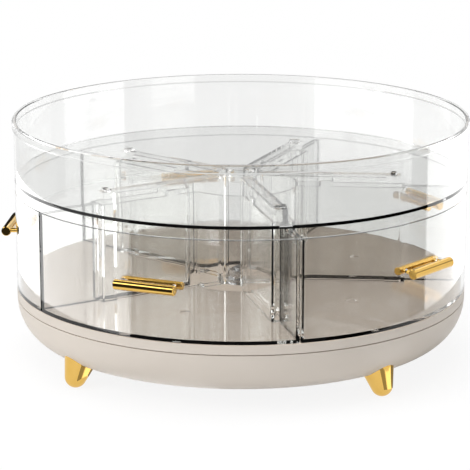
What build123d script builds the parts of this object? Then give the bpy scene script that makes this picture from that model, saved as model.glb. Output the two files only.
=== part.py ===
"""Rotating makeup organizer with five drawers under an open tray.

Millimetres, +Z up. The origin is on the surface that the feet stand on, on the axis that the
turntable turns about. The drawer at azimuth 0 would face -Y, and azimuths grow towards +X.
"""
from build123d import *
import os
from math import cos, radians, sin, sqrt, tan

# ---------------------------------------------------------------- driving sizes
body_radius = 140.0            # outside of the bowl, the turntable, the drawer fronts and the tray
drawer_count = 5
first_seam_azimuth = 13.8      # seam between the two front drawers
running_gap = 0.3              # between pieces that slide or turn past each other
seat_gap = 0.15                # hairline left where a clear piece stands on or under another piece
past = 1.0                     # how far a cutting shape runs past the face that it opens
lap = 0.5                      # how far two shapes of one moulding run into each other

# heights, from the floor up
foot_height = 11.2             # floor to the bowl's flat bottom
bowl_height = 26.2
parting_gap = 0.5              # between the bowl's rim and the turntable
turntable_height = 5.5
bay_height = 61.9              # turntable top to the tray's skirt
skirt_height = 5.7
tray_wall_height = 37.4        # tray floor's underside to the rim

# bowl
bowl_wall = 2.5
bowl_side_reach = 22.3         # radial reach of the quarter-ellipse side
boss_radius = 10.0
rib_thickness = 2.5

# feet
foot_azimuths = {"front_left": -50.0, "front_right": 40.0, "rear_right": 130.0, "rear_left": -140.0}
foot_inset = 11.2              # body radius less the radius at which the feet touch the floor
foot_tip_radius = 6.6
foot_half_angle = 16.0
foot_splay = 21.0
foot_length = 34.0
foot_flat = 0.35               # depth of the flat that the foot rests on
foot_screw_radius = 1.6
foot_screw_inset = 15.0        # body radius less the radius of the foot screws
foot_screw_reach = 5.0         # how far the screw enters the foot
foot_screw_head_radius = 3.2
foot_screw_head_height = 1.6
foot_boss_radius = 4.2
foot_boss_stand = 2.0          # boss top above the bowl's inside

# turntable bearing
ball_radius = 3.0
ball_count = 20
ball_circle = 70.0
ball_play = 0.2
race_thickness = 2.4
race_gap = 3.6
race_inner = 58.0
race_outer = 84.0
race_height = 27.0             # underside of the lower race above the floor
cage_thickness = 2.0
cage_width = 8.4
race_screw_count = 6
race_screw_radius = 1.25
race_screw_length = 5.0
race_screw_head_radius = 2.4
race_screw_head_height = 1.1
inner_rib_inset = 2.0          # middle of a rib inside the race's edge that it bears on
lower_outer_rib_inset = 1.0
upper_outer_rib_inset = 2.0
lower_screw_circle = 80.0
upper_screw_circle = 62.5
screw_boss_radius = 3.4

# centre bolt
bolt_radius = 4.0
bolt_play = 0.05               # round a bolt or peg in its hole
bolt_bottom = 15.0
bolt_stand = 1.5               # bolt end above the nut
washer_radius = 8.4
washer_thickness = 1.2
nut_flats = 13.0
nut_height = 5.5
hub_radius = 12.0

# turntable plate
deck_thickness = 2.5
turntable_skirt = 2.5

# dividers and centre column
divider_width = 8.0
divider_wall = 1.8
divider_reach = 99.0           # radius of the divider's outer end
post_length = 9.0              # solid post at the divider's outer end
post_corner_radius = 1.0
tongue_width = 3.0
tongue_depth = 2.0
clip_thickness = 2.4
clip_width = 6.4
clip_hook = 0.9
column_radius = 14.0
column_wall = 5.0
peg_radius = 2.0
peg_stand = 30.0               # radius at which the divider's inner peg stands
peg_length = 2.3

# tray
tray_wall = 1.8
tray_floor = 2.0
rim_lip = 0.8                  # how far the rim bead stands proud
rim_bead_height = 5.4
rim_bevel = 0.5
spigot_depth = 5.0

# drawers
drawer_wall = 1.8
drawer_front = 2.0
drawer_floor = 2.0
seam_gap = 1.0                 # between neighbouring drawers, outside the dividers
divider_clearance = 1.2        # from a divider to the drawer beside it
inner_end_radius = 34.3
rear_corner_radius = 3.0
side_below_skirt = 1.3         # top of the side walls below the tray's skirt
front_gap = 0.5                # above and below the drawer front
stop_tab_reach = 49.5          # outer end of the stop tabs on the side walls
stop_tab_length = 6.0
stop_tab_rise = 3.5
gate_mark_radius = 3.2
gate_mark_circle = 86.8
gate_mark_depth = 0.4

# handles
handle_height = 76.3           # bar axis above the floor
bar_length = 37.6
bar_radius = 3.0
bar_standoff = 5.1             # bar axis outside the drawer front
inner_bar_radius = 2.4
inner_bar_inset = 6.6          # inner bar axis inside the drawer front
handle_post_radius = 1.5
handle_post_spacing = 30.0
handle_post_entry = 1.0        # how far a post runs past each bar's axis
bar_chamfer = 0.4

# ---------------------------------------------------------------- levels worked out from them
bowl_bottom = foot_height
bowl_rim = bowl_bottom + bowl_height
turntable_bottom = bowl_rim + parting_gap
turntable_top = turntable_bottom + turntable_height
deck_bottom = turntable_top - deck_thickness
skirt_bottom = turntable_top + bay_height
tray_bottom = skirt_bottom + skirt_height
tray_floor_top = tray_bottom + tray_floor
rim_top = tray_bottom + tray_wall_height
ball_height = race_height + race_thickness + race_gap / 2
upper_race_height = race_height + race_thickness + race_gap
upper_race_top = upper_race_height + race_thickness
bowl_floor = bowl_bottom + bowl_wall
foot_circle = body_radius - foot_inset
foot_screw_circle = body_radius - foot_screw_inset
drawer_pitch = 360.0 / drawer_count
drawer_bottom = turntable_top + running_gap
drawer_side_top = skirt_bottom - side_below_skirt
front_bottom = turntable_top + front_gap
front_top = skirt_bottom - front_gap
washer_bottom = turntable_top + running_gap
nut_bottom = washer_bottom + washer_thickness
post_centre = divider_reach - post_length / 2
skirt_inner_radius = body_radius - drawer_front
half_pitch = drawer_pitch / 2
side_inset = divider_width / 2 + divider_clearance
step_radius = divider_reach + divider_clearance
seam_azimuths = [first_seam_azimuth + drawer_pitch * i for i in range(drawer_count)]
drawer_azimuths = [azimuth - half_pitch for azimuth in seam_azimuths]


def ring(outer, inner, bottom, top):
    """A flat ring, or a disc where the inner radius is 0."""
    height = top - bottom
    body = Pos(0, 0, bottom + height / 2) * Cylinder(outer, height)
    if inner > 0:
        body -= Pos(0, 0, bottom + height / 2) * Cylinder(inner, height)
    return body


def peg(radius, x, y, bottom, top):
    """An upright cylinder at x, y."""
    return Pos(x, y, (bottom + top) / 2) * Cylinder(radius, top - bottom)


def block(low, high):
    """A box between two corners."""
    size = [high[i] - low[i] for i in range(3)]
    middle = [(high[i] + low[i]) / 2 for i in range(3)]
    return Pos(*middle) * Box(*size)


def at_azimuth(shape, azimuth):
    """Turn a shape built along +X so that it points to an azimuth."""
    return Rot(0, 0, azimuth - 90.0) * shape


def on_circle(radius, count, start=0.0):
    """Points spaced evenly on a circle."""
    angles = [radians(start + 360.0 * i / count) for i in range(count)]
    return [(radius * cos(angle), radius * sin(angle)) for angle in angles]


def one_solid(shape):
    """The single solid that a shape holds."""
    solids = shape.solids()
    assert len(solids) == 1, f"{len(solids)} solids where one was meant"
    return solids[0]


def spun(edges):
    """Turn a closed outline, drawn as radius and height, about Z."""
    return revolve(Plane.XZ * make_face(Wire(edges)), Axis.Z)


def race_screw(x, y, face, tip):
    """A countersunk screw whose flat head is flush with a face and whose shank ends at tip."""
    head = race_screw_head_height
    sign = 1 if tip > face else -1
    radii = (race_screw_head_radius, race_screw_radius)[::sign]
    body = Pos(x, y, face + sign * head / 2) * Cone(*radii, head)
    low, high = sorted((face + sign * head, tip))
    return body + peg(race_screw_radius, x, y, low, high)


# ---------------------------------------------------------------- bowl, feet and bearing
def bowl_outline(wall):
    """The bowl as a filled round shape, drawn in by a wall thickness."""
    centre = (body_radius - bowl_side_reach, bowl_rim)
    side = EllipticalCenterArc(centre, bowl_side_reach - wall, bowl_height - wall, -90, arc_size=90)
    floor_line = Line((0, bowl_bottom + wall), side @ 0)
    rim_line = Line(side @ 1, (0, bowl_rim))
    axis_line = Line((0, bowl_rim), (0, bowl_bottom + wall))
    return spun([floor_line, side, rim_line, axis_line])


def foot_spots():
    """Where each foot's screw stands."""
    return [Rot(0, 0, azimuth - 90.0) * Pos(foot_screw_circle, 0, 0) for azimuth in foot_azimuths.values()]


def foot_screw_solid():
    """Pan-head screw that holds a foot, standing on the bowl's boss."""
    head_bottom = foot_boss_top()
    shank = Pos(0, 0, (head_bottom + foot_screw_tip()) / 2)
    shank *= Cylinder(foot_screw_radius, head_bottom - foot_screw_tip())
    head = Pos(0, 0, head_bottom + foot_screw_head_height / 2)
    head *= Cylinder(foot_screw_head_radius, foot_screw_head_height)
    return head + shank


def bowl_height_at(radius):
    """Height of the bowl's outer surface at a radius on its curved side."""
    across = (radius - (body_radius - bowl_side_reach)) / bowl_side_reach
    return bowl_rim - bowl_height * sqrt(1 - across ** 2)


def foot_boss_top():
    """Top of the boss that a foot's screw head bears on."""
    return bowl_height_at(foot_screw_circle + foot_screw_head_radius) + bowl_wall + foot_boss_stand


def foot_screw_tip():
    """Lower end of a foot's screw."""
    return bowl_height_at(foot_screw_circle) - foot_screw_reach


def make_bowl():
    """Moulded bowl with the bearing's seat, the bolt's boss and the feet's bosses."""
    outside = bowl_outline(0.0)
    inside = bowl_outline(bowl_wall)
    shell = outside - inside
    seat_bottom = bowl_floor - past
    seats = ring(boss_radius, 0, seat_bottom, race_height)
    for rib_radius in (race_inner + inner_rib_inset, race_outer - lower_outer_rib_inset):
        half = rib_thickness / 2
        seats += ring(rib_radius + half, rib_radius - half, seat_bottom, race_height)
    for x, y in on_circle(lower_screw_circle, race_screw_count):
        seats += peg(screw_boss_radius, x, y, seat_bottom, race_height)
    for spot in foot_spots():
        boss = spot * peg(foot_boss_radius, 0, 0, bowl_bottom, foot_boss_top())
        seats += boss & outside
    body = shell + seats
    body -= peg(bolt_radius, 0, 0, bolt_bottom, race_height + past)
    tip = race_height + race_thickness - race_screw_length
    for x, y in on_circle(lower_screw_circle, race_screw_count):
        body -= peg(race_screw_radius, x, y, tip, race_height + past)
    for spot in foot_spots():
        body -= spot * peg(foot_screw_radius, 0, 0, 0, foot_boss_top() + past)
    return one_solid(body)


def make_foot(azimuth):
    """Splayed round foot with a ball tip, cut to the bowl above and flat on the floor below."""
    half = radians(foot_half_angle)
    tip = foot_tip_radius
    start = Vector(0, -tip)
    touch = Vector(tip * cos(half), -tip * sin(half))
    midway = (radians(90) - half) / 2
    middle = Vector(tip * sin(midway), -tip * cos(midway))
    top = touch + Vector(sin(half), cos(half)) * foot_length
    edges = [ThreePointArc(start, middle, touch), Line(touch, top)]
    edges += [Line(top, (0, top.Y)), Line((0, top.Y), start)]
    cone = spun(edges)
    cone = Pos(foot_circle, 0, tip - foot_flat) * Rot(0, -foot_splay, 0) * cone
    cone = at_azimuth(cone, azimuth)
    wide = 2 * body_radius
    cone &= block((-wide, -wide, 0), (wide, wide, bowl_rim - past))
    cone -= bowl_outline(0.0)
    screw_hole = Rot(0, 0, azimuth - 90.0) * Pos(foot_screw_circle, 0, 0)
    cone -= screw_hole * peg(foot_screw_radius, 0, 0, foot_screw_tip(), bowl_rim)
    return one_solid(cone)


def ball_groove():
    """The round groove that the balls run in."""
    return Pos(0, 0, ball_height) * Torus(ball_circle, ball_radius + ball_play)


def make_lower_race():
    """Bottom race, screwed down to the bowl's ribs."""
    body = ring(race_outer, race_inner, race_height, race_height + race_thickness) - ball_groove()
    for screw in lower_race_screws():
        body -= screw
    return one_solid(body)


def lower_race_screws():
    """Countersunk screws, heads flush with the lower race."""
    face = race_height + race_thickness
    tip = race_height + race_thickness - race_screw_length
    spots = on_circle(lower_screw_circle, race_screw_count)
    return [race_screw(x, y, face, tip) for x, y in spots]


def make_upper_race():
    """Top race, screwed up to the turntable's ribs."""
    body = ring(race_outer, race_inner, upper_race_height, upper_race_top) - ball_groove()
    for screw in upper_race_screws():
        body -= screw
    return one_solid(body)


def upper_race_screws():
    """Countersunk screws, heads flush with the upper race."""
    tip = upper_race_height + race_screw_length
    spots = on_circle(upper_screw_circle, race_screw_count)
    return [race_screw(x, y, upper_race_height, tip) for x, y in spots]


def make_cage():
    """Flat ring that keeps the balls apart."""
    half = cage_width / 2
    body = ring(ball_circle + half, ball_circle - half, ball_height - cage_thickness / 2,
                ball_height + cage_thickness / 2)
    for x, y in on_circle(ball_circle, ball_count):
        body -= peg(ball_radius + ball_play, x, y, ball_height - cage_thickness, ball_height + cage_thickness)
    return one_solid(body)


def make_balls():
    """The steel balls."""
    return [Pos(x, y, ball_height) * Sphere(ball_radius) for x, y in on_circle(ball_circle, ball_count)]


def make_bolt():
    """Centre stud, fixed in the bowl's boss, that the turntable turns on."""
    return one_solid(peg(bolt_radius, 0, 0, bolt_bottom, nut_bottom + nut_height + bolt_stand))


def make_washer():
    """Washer that holds the turntable down."""
    return one_solid(ring(washer_radius, bolt_radius, washer_bottom, nut_bottom))


def make_nut():
    """Hexagon nut on the centre stud."""
    outline = RegularPolygon(nut_flats / 2, 6, major_radius=False)
    body = Pos(0, 0, nut_bottom) * extrude(outline, nut_height)
    return one_solid(body - peg(bolt_radius, 0, 0, nut_bottom - past, nut_bottom + nut_height + past))


# ---------------------------------------------------------------- turntable, column and dividers
def divider_pegs(radius, bottom):
    """The pegs under a divider, built along +X, or the holes for them."""
    pegs = [peg(radius, x, 0, bottom, turntable_top + past) for x in (peg_stand, post_centre)]
    return pegs[0] + pegs[1]


def make_turntable():
    """Flat plate with an edge skirt, the bearing's ribs and the hub."""
    body = ring(body_radius, 0, deck_bottom, turntable_top)
    body += ring(body_radius, body_radius - turntable_skirt, turntable_bottom, turntable_top)
    body += ring(hub_radius, 0, upper_race_top, turntable_top)
    for rib_radius in (race_inner + inner_rib_inset, race_outer - upper_outer_rib_inset):
        half = rib_thickness / 2
        body += ring(rib_radius + half, rib_radius - half, upper_race_top, deck_bottom)
    for x, y in on_circle(upper_screw_circle, race_screw_count):
        body += peg(screw_boss_radius, x, y, upper_race_top, deck_bottom)
    tip = upper_race_height + race_screw_length
    for x, y in on_circle(upper_screw_circle, race_screw_count):
        body -= peg(race_screw_radius, x, y, upper_race_top - past, tip)
    body -= peg(bolt_radius + bolt_play, 0, 0, 0, rim_top)
    for azimuth in seam_azimuths:
        body -= at_azimuth(divider_pegs(peg_radius + bolt_play, deck_bottom - past), azimuth)
    return one_solid(body)


def make_column():
    """Centre tube with a groove for each divider's tongue."""
    low = turntable_top + seat_gap
    body = ring(column_radius, column_radius - column_wall, low, tray_bottom - seat_gap)
    play = running_gap / 2
    for azimuth in seam_azimuths:
        half = tongue_width / 2 + play
        groove = block((column_radius - tongue_depth - play, -half, 0), (column_radius + past, half, rim_top))
        body -= at_azimuth(groove, azimuth)
    return one_solid(body)


def make_divider(azimuth):
    """Hollow clear wall between two drawers, with a solid post and a clip at its outer end."""
    half = divider_width / 2
    wall = divider_wall
    inner = column_radius + running_gap
    low = turntable_top + seat_gap
    top = tray_bottom - seat_gap
    body = block((inner, -half, low), (divider_reach, half, top))
    body = fillet(body.edges().filter_by(Axis.Z).group_by(Axis.X)[-1], post_corner_radius)
    body -= block((inner + wall, wall - half, 0), (divider_reach - post_length, half - wall, top - wall))
    tongue_half = tongue_width / 2
    body += block((column_radius - tongue_depth, -tongue_half, low), (inner + lap, tongue_half, top))
    clip_half = clip_width / 2
    clip_inner = post_centre - clip_thickness / 2
    clip_outer = post_centre + clip_thickness / 2
    hook_bottom = tray_floor_top + seat_gap
    hook_top = hook_bottom + clip_hook
    body += block((clip_inner, -clip_half, top - lap), (clip_outer, clip_half, hook_top))
    body += block((clip_outer - lap, -clip_half, hook_bottom), (clip_outer + clip_hook, clip_half, hook_top))
    foot = divider_pegs(peg_radius, turntable_top - peg_length)
    foot &= block((0, -half, 0), (divider_reach, half, low + lap))
    stub_half = half - wall + lap
    stub = block((peg_stand - peg_radius, -stub_half, low), (peg_stand + peg_radius, stub_half, low + wall))
    return one_solid(at_azimuth(body + foot + stub, azimuth))


# ---------------------------------------------------------------- tray
def make_tray():
    """Open clear tray: skirt, floor, tall wall and a bead at the rim."""
    outer = body_radius
    lip = outer + rim_lip
    inner = outer - tray_wall
    bead_bottom = rim_top - rim_bead_height
    points = [(0, tray_bottom), (skirt_inner_radius, tray_bottom), (skirt_inner_radius, skirt_bottom),
              (outer, skirt_bottom), (outer, bead_bottom), (lip, bead_bottom + rim_lip),
              (lip, rim_top - rim_lip), (lip - rim_lip / 2, rim_top), (inner + rim_bevel, rim_top),
              (inner, rim_top - rim_bevel),
              (inner, tray_floor_top), (0, tray_floor_top), (0, tray_bottom)]
    body = spun(Polyline(*points).edges())
    spigot = column_radius - column_wall - running_gap
    body += ring(spigot, spigot - tray_wall, tray_bottom - spigot_depth, tray_bottom)
    slot_play = running_gap
    slot_half = clip_width / 2 + slot_play
    low = (post_centre - clip_thickness / 2 - slot_play, -slot_half, tray_bottom - past)
    high = (post_centre + clip_thickness / 2 + slot_play, slot_half, tray_floor_top + past)
    for azimuth in seam_azimuths:
        body -= at_azimuth(block(low, high), azimuth)
    return one_solid(body)


# ---------------------------------------------------------------- drawers, built along +X
def wedge(inset, inner, outer, bottom, top):
    """Part of a ring between two planes that lie an inset inside the drawer's seams."""
    apex = inset / sin(radians(half_pitch))
    far = 2 * body_radius
    side = (far - apex) * tan(radians(half_pitch))
    triangle = make_face(Polyline((apex, 0), (far, -side), (far, side), (apex, 0)))
    solid = Pos(0, 0, bottom) * extrude(triangle, top - bottom)
    return solid & ring(outer, inner, bottom, top)


def stepped_box(wall, bottom, top):
    """The drawer's box drawn in by a wall: wide outside the dividers' ends, narrower between the dividers."""
    outer = body_radius - drawer_front
    wide = wedge(seam_gap / 2 + wall, step_radius + wall, outer, bottom, top)
    narrow = wedge(side_inset + wall, inner_end_radius + wall, outer, bottom, top)
    rear = narrow.edges().filter_by(Axis.Z).group_by(SortBy.DISTANCE)[0]
    return wide + fillet(rear, rear_corner_radius - wall)


def stop_tabs():
    """The tabs on the side walls that stop the drawer against the tray's skirt."""
    tabs = wedge(side_inset, inner_end_radius, body_radius, drawer_side_top - lap, drawer_side_top + stop_tab_rise)
    tabs -= wedge(side_inset + drawer_wall, past, body_radius + past, 0, rim_top)
    low = (stop_tab_reach - stop_tab_length, -body_radius, 0)
    high = (stop_tab_reach, body_radius, rim_top)
    return tabs & block(low, high)


def drawer_shell():
    """The clear moulding: box, floor and curved front."""
    floor_top = drawer_bottom + drawer_floor
    box = stepped_box(0, drawer_bottom, drawer_side_top)
    hollow = stepped_box(drawer_wall, floor_top, rim_top)
    front = wedge(seam_gap / 2, body_radius - drawer_front, body_radius, front_bottom, front_top)
    body = box - hollow + front + stop_tabs()
    body -= peg(gate_mark_radius, gate_mark_circle, 0, floor_top - gate_mark_depth, floor_top + past)
    for post in handle_post_solids(handle_post_radius + seat_gap / 2):
        body -= post
    return one_solid(body)


def bar_solid(radius, x):
    """A round bar across the drawer front, with its ends chamfered."""
    bar = Rot(90, 0, 0) * Cylinder(radius, bar_length)
    bar = chamfer(bar.edges().filter_by(GeomType.CIRCLE), bar_chamfer)
    return Pos(x, 0, handle_height) * bar


def front_bar_x():
    """Where the front bar's axis lies along the drawer."""
    return body_radius + bar_standoff


def inner_bar_x():
    """Where the inner bar's axis lies along the drawer."""
    return body_radius - inner_bar_inset


def handle_post_solids(radius=handle_post_radius):
    """The two studs that tie the bars together through the drawer front, or the holes for them."""
    low = inner_bar_x() - handle_post_entry
    high = front_bar_x() + handle_post_entry
    stud = Rot(0, 90, 0) * Cylinder(radius, high - low)
    middle = (low + high) / 2
    return [Pos(middle, side * handle_post_spacing / 2, handle_height) * stud for side in (-1, 1)]


def drilled_bar(radius, x):
    """A bar with its two blind holes for the studs."""
    bar = bar_solid(radius, x)
    for post in handle_post_solids():
        bar -= post
    return one_solid(bar)


def drawer_travel():
    """How far a drawer slides before its stop tabs meet the tray's skirt."""
    across = (stop_tab_reach - side_inset / sin(radians(half_pitch))) * tan(radians(half_pitch))
    return sqrt(skirt_inner_radius ** 2 - across ** 2) - stop_tab_reach


# ---------------------------------------------------------------- write the pieces
def write(name, solids):
    """Write one node, a single solid or several alike."""
    if not isinstance(solids, list):
        solids = [solids]
    shape = solids[0] if len(solids) == 1 else Compound(children=[one_solid(solid) for solid in solids])
    shape.label = name
    export_step(shape, f"parts/{name}.step")


def main():
    """Build every piece."""
    os.makedirs("parts", exist_ok=True)
    write("base_bowl", make_bowl())
    for place, azimuth in foot_azimuths.items():
        write(f"foot_{place}", make_foot(azimuth))
    write("foot_screws", [spot * foot_screw_solid() for spot in foot_spots()])
    write("bearing_lower_race", make_lower_race())
    write("bearing_lower_screws", lower_race_screws())
    write("bearing_cage", make_cage())
    write("bearing_balls", make_balls())
    write("bearing_upper_race", make_upper_race())
    write("bearing_upper_screws", upper_race_screws())
    write("centre_stud", make_bolt())
    write("centre_washer", make_washer())
    write("centre_nut", make_nut())
    write("turntable_plate", make_turntable())
    write("centre_column", make_column())
    for number, azimuth in enumerate(seam_azimuths, 1):
        write(f"divider_{number}", make_divider(azimuth))
    write("upper_tray", make_tray())
    shell = drawer_shell()
    front_bar = drilled_bar(bar_radius, front_bar_x())
    inner_bar = drilled_bar(inner_bar_radius, inner_bar_x())
    for number, azimuth in enumerate(drawer_azimuths, 1):
        write(f"drawer_{number}", at_azimuth(shell, azimuth))
        write(f"handle_bar_{number}", at_azimuth(front_bar, azimuth))
        write(f"handle_inner_bar_{number}", at_azimuth(inner_bar, azimuth))
        write(f"handle_posts_{number}", [at_azimuth(post, azimuth) for post in handle_post_solids()])
    print(f"drawer travel {drawer_travel():.2f} mm")


main()
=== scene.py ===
import logging
import math
from dataclasses import dataclass
from enum import Enum

import bpy
import numpy as np
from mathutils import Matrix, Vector

LOG = logging.getLogger("organizer")
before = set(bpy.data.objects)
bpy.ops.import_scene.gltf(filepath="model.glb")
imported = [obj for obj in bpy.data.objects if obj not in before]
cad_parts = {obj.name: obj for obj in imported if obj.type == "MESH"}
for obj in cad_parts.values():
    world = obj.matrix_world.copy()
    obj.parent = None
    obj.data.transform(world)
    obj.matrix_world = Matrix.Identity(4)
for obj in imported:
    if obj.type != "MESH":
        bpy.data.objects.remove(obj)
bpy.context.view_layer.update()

Colour = tuple[float, float, float]
Span = tuple[float, float]
WHITE = (1.0, 1.0, 1.0, 1.0)
NOISE_LOW, NOISE_HIGH = 0.3, 0.7   # between these lies nearly all of a noise's factor
BAY_COUNT = 5                      # drawers round the turntable, and dividers between them
BOUNCES = {"max_bounces": 48, "transmission_bounces": 44, "glossy_bounces": 8, "diffuse_bounces": 4,
           "transparent_max_bounces": 48}   # a view through the object meets more than twenty clear walls


# ------------------------------------------------------------------ node helpers
def new_material(name: str) -> tuple[bpy.types.Material, bpy.types.NodeTree]:
    """Start an empty node material.

    Args:
        name: The material's name.

    Returns:
        The material and its node tree.
    """
    material = bpy.data.materials.new(name)
    material.use_nodes = True
    material.node_tree.nodes.clear()
    return material, material.node_tree


def show(tree: bpy.types.NodeTree, surface: bpy.types.NodeSocket,
         output: str = "ShaderNodeOutputMaterial") -> None:
    """Send a shader to the tree's surface output.

    Args:
        tree: The node tree to add to.
        surface: The shader's socket.
        output: Type of the output node.
    """
    tree.links.new(surface, tree.nodes.new(output).inputs["Surface"])


def grey(level: float) -> Colour:
    """Return the grey of a level."""
    return level, level, level


def noise(tree: bpy.types.NodeTree, scale: float, detail: float,
          stretch: tuple[float, float, float] = (1.0, 1.0, 1.0)) -> bpy.types.NodeSocket:
    """Noise on Object coordinates.

    Args:
        tree: The node tree to add to.
        scale: Noise scale, in cells per metre.
        detail: Octaves of the noise.
        stretch: Scale of each axis, to draw the noise out along one.

    Returns:
        The noise's factor socket.
    """
    place = tree.nodes.new("ShaderNodeTexCoord")
    mapping = tree.nodes.new("ShaderNodeMapping")
    mapping.inputs["Scale"].default_value = stretch
    texture = tree.nodes.new("ShaderNodeTexNoise")
    texture.inputs["Scale"].default_value = scale
    texture.inputs["Detail"].default_value = detail
    tree.links.new(place.outputs["Object"], mapping.inputs["Vector"])
    tree.links.new(mapping.outputs["Vector"], texture.inputs["Vector"])
    return texture.outputs["Fac"]


def ramp(tree: bpy.types.NodeTree, value: bpy.types.NodeSocket, low: Span, high: Span) -> bpy.types.NodeSocket:
    """Map a value between two ranges, held at both ends.

    Args:
        tree: The node tree to add to.
        value: The socket to map.
        low: Input and output at the low end.
        high: Input and output at the high end.

    Returns:
        The mapped value's socket.
    """
    node = tree.nodes.new("ShaderNodeMapRange")
    node.inputs["From Min"].default_value = low[0]
    node.inputs["To Min"].default_value = low[1]
    node.inputs["From Max"].default_value = high[0]
    node.inputs["To Max"].default_value = high[1]
    tree.links.new(value, node.inputs["Value"])
    return node.outputs["Result"]


def combine(tree: bpy.types.NodeTree, operation: str, first: bpy.types.NodeSocket,
            second: bpy.types.NodeSocket) -> bpy.types.NodeSocket:
    """Work out one number from two.

    Args:
        tree: The node tree to add to.
        operation: Name of the Math node's operation.
        first: The first number.
        second: The second number.

    Returns:
        The result's socket.
    """
    node = tree.nodes.new("ShaderNodeMath")
    node.operation = operation
    tree.links.new(first, node.inputs[0])
    tree.links.new(second, node.inputs[1])
    return node.outputs[0]


def tint(tree: bpy.types.NodeTree, value: bpy.types.NodeSocket, dark: Colour,
         light: Colour) -> bpy.types.NodeSocket:
    """Mix two colours by a value.

    Args:
        tree: The node tree to add to.
        value: Mixing factor.
        dark: Colour at 0.
        light: Colour at 1.

    Returns:
        The colour socket.
    """
    node = tree.nodes.new("ShaderNodeMix")
    node.data_type = "RGBA"
    node.inputs["A"].default_value = (*dark, 1)
    node.inputs["B"].default_value = (*light, 1)
    tree.links.new(value, node.inputs["Factor"])
    return node.outputs["Result"]


def bump(tree: bpy.types.NodeTree, height: bpy.types.NodeSocket, distance: float,
         strength: float = 1.0) -> bpy.types.NodeSocket:
    """Bump from a height.

    Args:
        tree: The node tree to add to.
        height: The height socket.
        distance: Height of a full step, in metres.
        strength: Strength of the bump.

    Returns:
        The normal socket.
    """
    node = tree.nodes.new("ShaderNodeBump")
    node.inputs["Distance"].default_value = distance
    node.inputs["Strength"].default_value = strength
    tree.links.new(height, node.inputs["Height"])
    return node.outputs["Normal"]


def blend(tree: bpy.types.NodeTree, factor: bpy.types.NodeSocket, first: bpy.types.NodeSocket,
          second: bpy.types.NodeSocket) -> bpy.types.NodeSocket:
    """Mix two shaders.

    Args:
        tree: The node tree to add to.
        factor: Mixing factor.
        first: Shader at 0.
        second: Shader at 1.

    Returns:
        The mixed shader's socket.
    """
    mix = tree.nodes.new("ShaderNodeMixShader")
    for socket, place in zip((factor, first, second), mix.inputs):
        tree.links.new(socket, place)
    return mix.outputs[0]


def sight(tree: bpy.types.NodeTree) -> bpy.types.NodeSocket:
    """One for a ray from the camera, from gloss or through glass, else zero.

    Args:
        tree: The node tree to add to.

    Returns:
        The socket.
    """
    path = tree.nodes.new("ShaderNodeLightPath").outputs
    gloss = combine(tree, "MAXIMUM", path["Is Camera Ray"], path["Is Glossy Ray"])
    return combine(tree, "MAXIMUM", gloss, path["Is Transmission Ray"])


def place_mesh(name: str, points: np.ndarray, faces: np.ndarray) -> bpy.types.Object:
    """Put points and faces into a new object at the origin.

    Args:
        name: Name of the object and its mesh.
        points: An array of x, y, z rows in metres.
        faces: An array of rows of point numbers.

    Returns:
        The object.
    """
    mesh = bpy.data.meshes.new(name)
    mesh.from_pydata(points.tolist(), [], faces.tolist())
    item = bpy.data.objects.new(name, mesh)
    bpy.context.scene.collection.objects.link(item)
    return item


# ------------------------------------------------------------------ finishes
@dataclass(frozen=True)
class ClearPlastic:
    """Water-clear injection-moulded plastic with a faint flow ripple."""

    name: str = "clear_moulding"
    colour: Colour = (0.945, 0.948, 0.942)
    ior: float = 1.49
    ripple_scale: float = 38.0
    ripple_detail: float = 2.0
    ripple_stretch: tuple[float, float, float] = (1.0, 1.0, 0.35)
    ripple_height: float = 0.000006
    shadow: float = 0.965

    def make(self) -> bpy.types.Material:
        """Build the material: refracting, and nearly open to shadow rays."""
        material, tree = new_material(self.name)
        shader = tree.nodes.new("ShaderNodeBsdfPrincipled")
        shader.inputs["Base Color"].default_value = (*self.colour, 1)
        shader.inputs["Roughness"].default_value = 0.0
        shader.inputs["IOR"].default_value = self.ior
        shader.inputs["Transmission Weight"].default_value = 1.0
        flow = noise(tree, self.ripple_scale, self.ripple_detail, self.ripple_stretch)
        tree.links.new(bump(tree, flow, self.ripple_height), shader.inputs["Normal"])
        path = tree.nodes.new("ShaderNodeLightPath").outputs
        passing = combine(tree, "MAXIMUM", path["Is Shadow Ray"], path["Is Diffuse Ray"])
        clear = tree.nodes.new("ShaderNodeBsdfTransparent")
        clear.inputs["Color"].default_value = (*grey(self.shadow), 1)
        show(tree, blend(tree, passing, shader.outputs[0], clear.outputs[0]))
        return material


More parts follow.
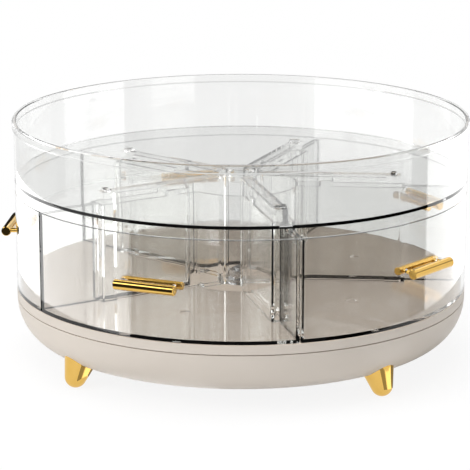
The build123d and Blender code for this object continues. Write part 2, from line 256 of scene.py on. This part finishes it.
@dataclass(frozen=True)
class BeigePlastic:
    """Warm beige moulded plastic, satin, with a faint tone drift, and painted shade: a warmer, darker tone on the
    level faces.
    """

    dark: Colour = (0.60, 0.545, 0.485)
    light: Colour = (0.63, 0.575, 0.515)
    # painted shade: the warmer, darker colour given to faces that point up
    painted_deck_shade: Colour = (0.60, 0.51, 0.43)
    specular: float = 0.25
    roughness: float = 0.44
    roughness_drift: float = 0.04
    drift_scale: float = 22.0
    grain_scale: float = 2600.0
    grain_height: float = 0.000012
    grain_strength: float = 0.6
    sloping: float = 0.6
    level: float = 0.95

    def make(self) -> bpy.types.Material:
        """Build the material."""
        material, tree = new_material("beige_moulding")
        shader = tree.nodes.new("ShaderNodeBsdfPrincipled")
        shader.inputs["Specular IOR Level"].default_value = self.specular
        side = tint(tree, noise(tree, self.drift_scale, 3.0), self.dark, self.light)
        # painted shade: faces that point up take the painted deck shade instead of the drifting beige
        split = tree.nodes.new("ShaderNodeSeparateXYZ")
        tree.links.new(tree.nodes.new("ShaderNodeNewGeometry").outputs["True Normal"], split.inputs[0])
        flat = tree.nodes.new("ShaderNodeMix")
        flat.data_type = "RGBA"
        flat.inputs["B"].default_value = (*self.painted_deck_shade, 1)
        upward = ramp(tree, split.outputs["Z"], (self.sloping, 0.0), (self.level, 1.0))
        tree.links.new(upward, flat.inputs["Factor"])
        tree.links.new(side, flat.inputs["A"])
        tree.links.new(flat.outputs["Result"], shader.inputs["Base Color"])
        grain = noise(tree, self.grain_scale, 2.0)
        satin = ramp(tree, grain, (NOISE_LOW, self.roughness - self.roughness_drift),
                     (NOISE_HIGH, self.roughness + self.roughness_drift))
        tree.links.new(satin, shader.inputs["Roughness"])
        tree.links.new(bump(tree, grain, self.grain_height, self.grain_strength), shader.inputs["Normal"])
        show(tree, shader.outputs[0])
        return material


@dataclass(frozen=True)
class Metal:
    """Bare or plated metal whose tone and polish drift a little."""

    name: str
    dark: Colour
    light: Colour
    tone_scale: float
    tone_detail: float
    polish_scale: float
    polish_detail: float
    smooth: float
    rough: float

    def make(self) -> bpy.types.Material:
        """Build the material."""
        material, tree = new_material(self.name)
        shader = tree.nodes.new("ShaderNodeBsdfPrincipled")
        shader.inputs["Metallic"].default_value = 1.0
        tone = noise(tree, self.tone_scale, self.tone_detail)
        tree.links.new(tint(tree, tone, self.dark, self.light), shader.inputs["Base Color"])
        polish = noise(tree, self.polish_scale, self.polish_detail)
        shine = ramp(tree, polish, (NOISE_LOW, self.smooth), (NOISE_HIGH, self.rough))
        tree.links.new(shine, shader.inputs["Roughness"])
        show(tree, shader.outputs[0])
        return material


def gold_plate(name: str, dark: Colour, light: Colour) -> Metal:
    """Return polished gold-coloured plating of two tones."""
    return Metal(name, dark, light, tone_scale=180.0, tone_detail=2.0, polish_scale=900.0, polish_detail=3.0,
                 smooth=0.025, rough=0.075)


@dataclass(frozen=True)
class Nylon:
    """Matt natural nylon of the ball cage."""

    dark: Colour = (0.80, 0.79, 0.75)
    light: Colour = (0.88, 0.87, 0.84)
    tone_scale: float = 120.0
    roughness: float = 0.5

    def make(self) -> bpy.types.Material:
        """Build the material."""
        material, tree = new_material("natural_nylon")
        shader = tree.nodes.new("ShaderNodeBsdfPrincipled")
        tone = noise(tree, self.tone_scale, 3.0)
        tree.links.new(tint(tree, tone, self.dark, self.light), shader.inputs["Base Color"])
        shader.inputs["Roughness"].default_value = self.roughness
        show(tree, shader.outputs[0])
        return material


class Finish(Enum):
    """The finishes of the pieces; the dividers and the column bend light less than the outer walls."""

    CLEAR = ClearPlastic()
    CLEAR_INNER = ClearPlastic(name="clear_inner_moulding", colour=(0.985, 0.985, 0.98), ior=1.16)
    CLEAR_COLUMN = ClearPlastic(name="clear_column_moulding", colour=(0.99, 0.99, 0.99), ior=1.04)
    BEIGE = BeigePlastic()
    GOLD = gold_plate("gold_plating", (0.76, 0.47, 0.11), (0.82, 0.53, 0.15))
    # painted shade: a darker copy of the gold plating for the inner handle bars
    GOLD_PAINTED_SHADE = gold_plate("gold_plating_painted_shade", (0.42, 0.25, 0.06), (0.66, 0.41, 0.11))
    STEEL = Metal("turned_steel", (0.50, 0.50, 0.51), (0.64, 0.64, 0.65), tone_scale=600.0, tone_detail=4.0,
                  polish_scale=600.0, polish_detail=4.0, smooth=0.22, rough=0.34)
    NYLON = Nylon()


class Dresser:
    """Keeps one material of each finish and puts them on CAD nodes."""

    def __init__(self) -> None:
        """Make every finish once."""
        self.materials = {finish: finish.value.make() for finish in Finish}
        self.dressed: set[str] = set()

    def put(self, finish: Finish, *names: str) -> None:
        """Give nodes a finish in all their material slots.

        Args:
            finish: The finish to put on.
            names: Names of the CAD nodes.
        """
        for name in names:
            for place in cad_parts[name].material_slots:
                place.material = self.materials[finish]
            self.dressed.add(name)
            LOG.info("dressed %s in %s", name, finish.name.lower())


# ------------------------------------------------------------------ studio
@dataclass(frozen=True)
class PhotoCamera:
    """The photograph's viewpoint."""

    lens_mm: float = 162.7
    sensor_mm: float = 36.0
    aim: tuple[float, float, float] = (-0.00367, 0.0, 0.07182)
    distance: float = 1.33
    elevation_deg: float = 14.65
    clip: Span = (0.05, 50.0)

    def build(self) -> None:
        """Make the camera and set it as the scene's."""
        data = bpy.data.cameras.new("photo_camera")
        data.lens = self.lens_mm
        data.sensor_width = self.sensor_mm
        data.clip_start, data.clip_end = self.clip
        camera = bpy.data.objects.new("photo_camera", data)
        tilt = math.radians(self.elevation_deg)
        back = Vector((0.0, -math.cos(tilt), math.sin(tilt)))
        camera.location = Vector(self.aim) + back * self.distance
        camera.rotation_euler = (math.radians(90.0 - self.elevation_deg), 0.0, 0.0)
        bpy.context.scene.collection.objects.link(camera)
        bpy.context.scene.camera = camera


@dataclass(frozen=True)
class Lamp:
    """A soft box that lights the object and isn't itself seen in its gloss."""

    name: str
    place: tuple[float, float, float]
    size: Span
    watts: float
    aim: tuple[float, float, float] = (0.0, 0.0, 0.08)

    def build(self) -> None:
        """Hang the soft box so that it faces the object."""
        data = bpy.data.lights.new(self.name, "AREA")
        data.shape = "RECTANGLE"
        data.size, data.size_y = self.size
        data.energy = self.watts
        box = bpy.data.objects.new(self.name, data)
        box.location = self.place
        box.rotation_euler = (Vector(self.aim) - Vector(self.place)).to_track_quat("-Z", "Y").to_euler()
        box.visible_camera = False
        box.visible_transmission = False
        box.visible_glossy = False
        bpy.context.scene.collection.objects.link(box)


class Seen(Enum):
    """Rays that meet a sheet of the tent."""

    SHARP = "sharp reflections only, also where they come through a clear wall"
    THROUGH = "views through the clear walls only"
    SOFT = "soft reflections, as on the plating"


@dataclass(frozen=True)
class Sheet:
    """A band round a centre that only some rays meet, and that paints reflections and shade: glowing sheets are
    painted highlights, dark ones painted dark bands.

    An upright sheet has one radius; a flat card has its low and high edge at one level and two radii. Azimuths run
    from the front, positive to the right. far_glow, if given, is the glow for a ray that has already passed the
    near wall.
    """

    name: str
    radius: float
    low: float
    high: float
    first_deg: float
    last_deg: float
    glow: float
    seen: Seen
    top_radius: float | None = None
    centre: Span = (0.0, 0.0)
    far_glow: float | None = None
    steps: int = 96
    past_near_wall: Span = (2.4, 3.6)
    deep_in_glass: Span = (6.0, 8.0)
    # painted shade: the warm, dark glow that a ray meets after passing many clear walls
    painted_deep_shade: Colour = (0.16, 0.14, 0.12)
    once_mirrored: Span = (0.4, 0.6)

    def build(self) -> None:
        """Stretch the sheet and give it its glow."""
        band = self.build_mesh()
        band.data.materials.append(self.build_material())
        band.visible_camera = False
        band.visible_diffuse = False
        band.visible_shadow = False
        band.visible_glossy = self.seen is not Seen.THROUGH
        band.visible_transmission = self.seen is not Seen.SOFT

    def build_mesh(self) -> bpy.types.Object:
        """Make the band: centre plus radius times (sin a, -cos a) over the azimuths a, at the low and high edge.

        Returns:
            The band's object.
        """
        count = self.steps + 1
        azimuth = np.radians(np.linspace(self.first_deg, self.last_deg, count))
        across = np.column_stack([np.sin(azimuth), -np.cos(azimuth)])
        low = np.column_stack([across * self.radius + self.centre, np.full(count, self.low)])
        top = across * (self.top_radius or self.radius)
        high = np.column_stack([top + self.centre, np.full(count, self.high)])
        k = np.arange(self.steps)
        faces = np.column_stack([k, k + 1, k + count + 1, k + count])
        return place_mesh(self.name, np.vstack([low, high]), faces)

    def build_material(self) -> bpy.types.Material:
        """Make the sheet's material: its glow for the rays that meet it, nothing for the others.

        Returns:
            The material.
        """
        material, tree = new_material(self.name)
        path = tree.nodes.new("ShaderNodeLightPath").outputs
        lit = tree.nodes.new("ShaderNodeEmission")
        lit.inputs["Color"].default_value = (*grey(self.glow), 1)
        # painted shade: the view through the glass goes warm and dark with depth
        if self.seen is Seen.THROUGH:
            depth = ramp(tree, path["Transmission Depth"], (self.deep_in_glass[0], 0.0),
                         (self.deep_in_glass[1], 1.0))
            tree.links.new(tint(tree, depth, grey(self.glow), self.painted_deep_shade), lit.inputs["Color"])
        if self.far_glow:
            depth = ramp(tree, path["Transmission Depth"], (self.past_near_wall[0], 0.0),
                         (self.past_near_wall[1], 1.0))
            tree.links.new(tint(tree, depth, grey(self.glow), grey(self.far_glow)), lit.inputs["Color"])
        met = path["Is Singular Ray"]
        if self.seen is Seen.SHARP:
            mirrored = ramp(tree, path["Glossy Depth"], (self.once_mirrored[0], 0.0),
                            (self.once_mirrored[1], 1.0))
            met = combine(tree, "MULTIPLY", met, mirrored)
        shaders = [tree.nodes.new("ShaderNodeBsdfTransparent").outputs[0], lit.outputs[0]]
        if self.seen is Seen.SOFT:
            shaders.reverse()
        show(tree, blend(tree, met, *shaders))
        return material


DARK = 0.03                        # glow of the black cards, dark sheets that paint dark bands into reflections
CLOSE = 0.27                       # radius of the sheets that the clear walls mirror
INSIDE = 0.268                     # radius of the sheets that the plating mirrors
TENT_TOP = 0.42                    # top of the sheets that the clear walls mirror

# Name, place, size and power in watts.
LAMPS = (
    Lamp("left_box", (-1.5, -0.8, 1.1), (1.2, 1.2), 21.0),
    Lamp("right_box", (1.2, -1.3, 1.0), (0.9, 1.2), 2.5),
    Lamp("top_box", (-0.1, 0.1, 1.7), (1.6, 1.6), 22.0),
)

# Name, radius, lower and upper edge, first and last azimuth, glow, and which rays meet it.
SHEETS = (
    # painted shade: a grey wall seen only through the clear walls
    Sheet("painted_shade_wall", 0.85, 0.16, 1.20, -180.0, 180.0, 0.74, Seen.THROUGH),
    # painted reflections in the clear walls: sheets met only by sharp reflections; the bright ones are painted
    # highlights, the dark ones painted dark bands
    Sheet("painted_dark_front", 0.272, 0.0, TENT_TOP, -52.0, 31.0, 0.12, Seen.SHARP),
    Sheet("painted_dark_corner", CLOSE, 0.0, TENT_TOP, 61.0, 81.0, DARK, Seen.SHARP),
    Sheet("painted_window_left_low", CLOSE, 0.0, 0.072, -128.0, -42.0, 3.0, Seen.SHARP),
    Sheet("painted_window_left_middle", CLOSE, 0.072, 0.118, -128.0, -42.0, 0.9, Seen.SHARP),
    Sheet("painted_window_left_high", CLOSE, 0.118, TENT_TOP, -128.0, -50.0, 3.0, Seen.SHARP),
    Sheet("painted_window_right", CLOSE, 0.0, TENT_TOP, 81.0, 132.0, 2.3, Seen.SHARP),
    # painted reflection: dark in the near wall, bright where seen past it
    Sheet("painted_window_front_right", CLOSE, 0.0, TENT_TOP, 31.0, 61.0, DARK, Seen.SHARP, far_glow=2.0),
    # painted reflections on the handle bars: sheets met only by the plating's soft reflections draw a bright
    # highlight strip between dark bands
    Sheet("bar_dark_left", INSIDE, 0.0, 0.150, -150.0, -15.0, DARK, Seen.SOFT),
    Sheet("bar_strip_left", INSIDE, 0.150, 0.245, -150.0, -15.0, 2.6, Seen.SOFT),
    Sheet("bar_high_left", INSIDE, 0.245, 0.75, -180.0, -15.0, DARK, Seen.SOFT),
    Sheet("bar_line_right", INSIDE, 0.125, 0.150, 15.0, 150.0, DARK, Seen.SOFT),
)


@dataclass(frozen=True)
class FootCards:
    """Three flat cards on the floor, met only in a front foot's gold reflection, that paint shade, a highlight and
    a dark edge onto it.
    """

    side: str
    spot: Span
    near: float = 0.014
    far: float = 0.09
    level: float = 0.0005
    # painted shade, painted highlight and painted dark edge on the foot: name, first and last azimuth, glow
    cards: tuple[tuple[str, float, float, float], ...] = (
        ("shade", 14.0, 44.0, 0.40), ("shine", 50.0, 98.0, 1.9), ("edge", 98.0, 150.0, 0.30))

    def build(self) -> None:
        """Lay the cards round the foot, from each one's first azimuth to its last."""
        for card, first, last, glow in self.cards:
            Sheet(f"foot_{card}_{self.side}", self.near, self.level, self.level, first, last, glow, Seen.SOFT,
                  self.far, self.spot).build()


FOOT_CARDS = (FootCards("left", (-0.0987, -0.0828)), FootCards("right", (0.0828, -0.0987)))


@dataclass(frozen=True)
class Studio:
    """White sweep and a plain white world, with soft boxes, and sheets and cards met only in reflections or
    through the glass that paint highlights, dark bands and shade there.
    """

    floor_level: float = -0.0002
    floor_half: float = 6.0
    floor_tone: float = 0.90
    world_light: float = 0.40
    shadow_reach: Span = (0.15, 0.34)
    white_share: Span = (0.88, 1.0)

    def build(self) -> None:
        """Make the world, the floor, the lamps, and the sheets and foot cards of painted reflection and shade."""
        self.build_world()
        self.build_floor()
        for piece in (*LAMPS, *SHEETS, *FOOT_CARDS):
            piece.build()

    def build_world(self) -> None:
        """White to the camera, to glass and to metal; softer as a light."""
        world = bpy.data.worlds.new("white_room")
        bpy.context.scene.world = world
        world.use_nodes = True
        tree = world.node_tree
        tree.nodes.clear()
        room = []
        for strength in (self.world_light, 1.0):
            light = tree.nodes.new("ShaderNodeBackground")
            light.inputs["Color"].default_value = WHITE
            light.inputs["Strength"].default_value = strength
            room.append(light.outputs[0])
        show(tree, blend(tree, sight(tree), *room), "ShaderNodeOutputWorld")

    def build_floor(self) -> None:
        """A plane that takes the object's shadow near it and goes white with distance."""
        half = self.floor_half
        corners = np.array([(-half, -half), (half, -half), (half, half), (-half, half)])
        points = np.column_stack([corners, np.full(4, self.floor_level)])
        floor = place_mesh("floor", points, np.array([(0, 1, 2, 3)]))
        material, tree = new_material("white_floor")
        matt = tree.nodes.new("ShaderNodeBsdfDiffuse")
        matt.inputs["Color"].default_value = (*grey(self.floor_tone), 1)
        reach = tree.nodes.new("ShaderNodeVectorMath")
        reach.operation = "LENGTH"
        tree.links.new(tree.nodes.new("ShaderNodeTexCoord").outputs["Object"], reach.inputs[0])
        fade = ramp(tree, reach.outputs["Value"], *zip(self.shadow_reach, self.white_share))
        share = combine(tree, "MULTIPLY", sight(tree), fade)
        show(tree, blend(tree, share, matt.outputs[0], tree.nodes.new("ShaderNodeEmission").outputs[0]))
        floor.data.materials.append(material)


# ------------------------------------------------------------------ sub-assemblies
@dataclass(frozen=True)
class Base:
    """The beige bowl on its four splayed feet."""

    feet: tuple[str, ...] = ("front_left", "front_right", "rear_right", "rear_left")

    def dress(self, dresser: Dresser) -> None:
        """Dress the bowl, the feet and the screws of the feet.

        Args:
            dresser: Keeper of the finishes.
        """
        dresser.put(Finish.BEIGE, "base_bowl")
        dresser.put(Finish.GOLD, *(f"foot_{place}" for place in self.feet))
        dresser.put(Finish.STEEL, "foot_screws")


@dataclass(frozen=True)
class Bearing:
    """The ball bearing between bowl and turntable, and the stud through its middle."""

    races: tuple[str, ...] = ("lower", "upper")
    centre: tuple[str, ...] = ("stud", "washer", "nut")

    def dress(self, dresser: Dresser) -> None:
        """Dress races, screws, balls and stud in steel and the cage in nylon.

        Args:
            dresser: Keeper of the finishes.
        """
        for side in self.races:
            dresser.put(Finish.STEEL, f"bearing_{side}_race", f"bearing_{side}_screws")
        dresser.put(Finish.STEEL, "bearing_balls", *(f"centre_{part}" for part in self.centre))
        dresser.put(Finish.NYLON, "bearing_cage")


@dataclass(frozen=True)
class Turntable:
    """The beige plate with the clear column and dividers that stand on it, and the clear tray on top."""

    dividers: int = BAY_COUNT

    def dress(self, dresser: Dresser) -> None:
        """Dress plate, column, dividers and tray.

        Args:
            dresser: Keeper of the finishes.
        """
        dresser.put(Finish.BEIGE, "turntable_plate")
        dresser.put(Finish.CLEAR_COLUMN, "centre_column")
        dresser.put(Finish.CLEAR_INNER, *(f"divider_{k + 1}" for k in range(self.dividers)))
        dresser.put(Finish.CLEAR, "upper_tray")


@dataclass(frozen=True)
class Drawer:
    """One clear pull-out drawer with its gold handle."""

    number: int

    def dress(self, dresser: Dresser) -> None:
        """Dress the drawer, the outer bar and its posts, and the inner bar in a darker gold that is painted shade.

        Args:
            dresser: Keeper of the finishes.
        """
        dresser.put(Finish.CLEAR, f"drawer_{self.number}")
        dresser.put(Finish.GOLD, f"handle_bar_{self.number}", f"handle_posts_{self.number}")
        dresser.put(Finish.GOLD_PAINTED_SHADE, f"handle_inner_bar_{self.number}")


def main() -> None:
    """Build the camera, the studio and the looks in order."""
    logging.basicConfig(level=logging.INFO, format="%(name)s: %(message)s")
    scene = bpy.context.scene
    scene.view_settings.view_transform = "Standard"
    for limit, count in BOUNCES.items():
        setattr(scene.cycles, limit, count)
    PhotoCamera().build()
    Studio().build()
    dresser = Dresser()
    for part in (Base(), Bearing(), Turntable(), *(Drawer(k + 1) for k in range(BAY_COUNT))):
        part.dress(dresser)
    for name in sorted(set(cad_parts) - dresser.dressed):
        LOG.warning("%s has no finish", name)


if __name__ == "__main__":
    main()
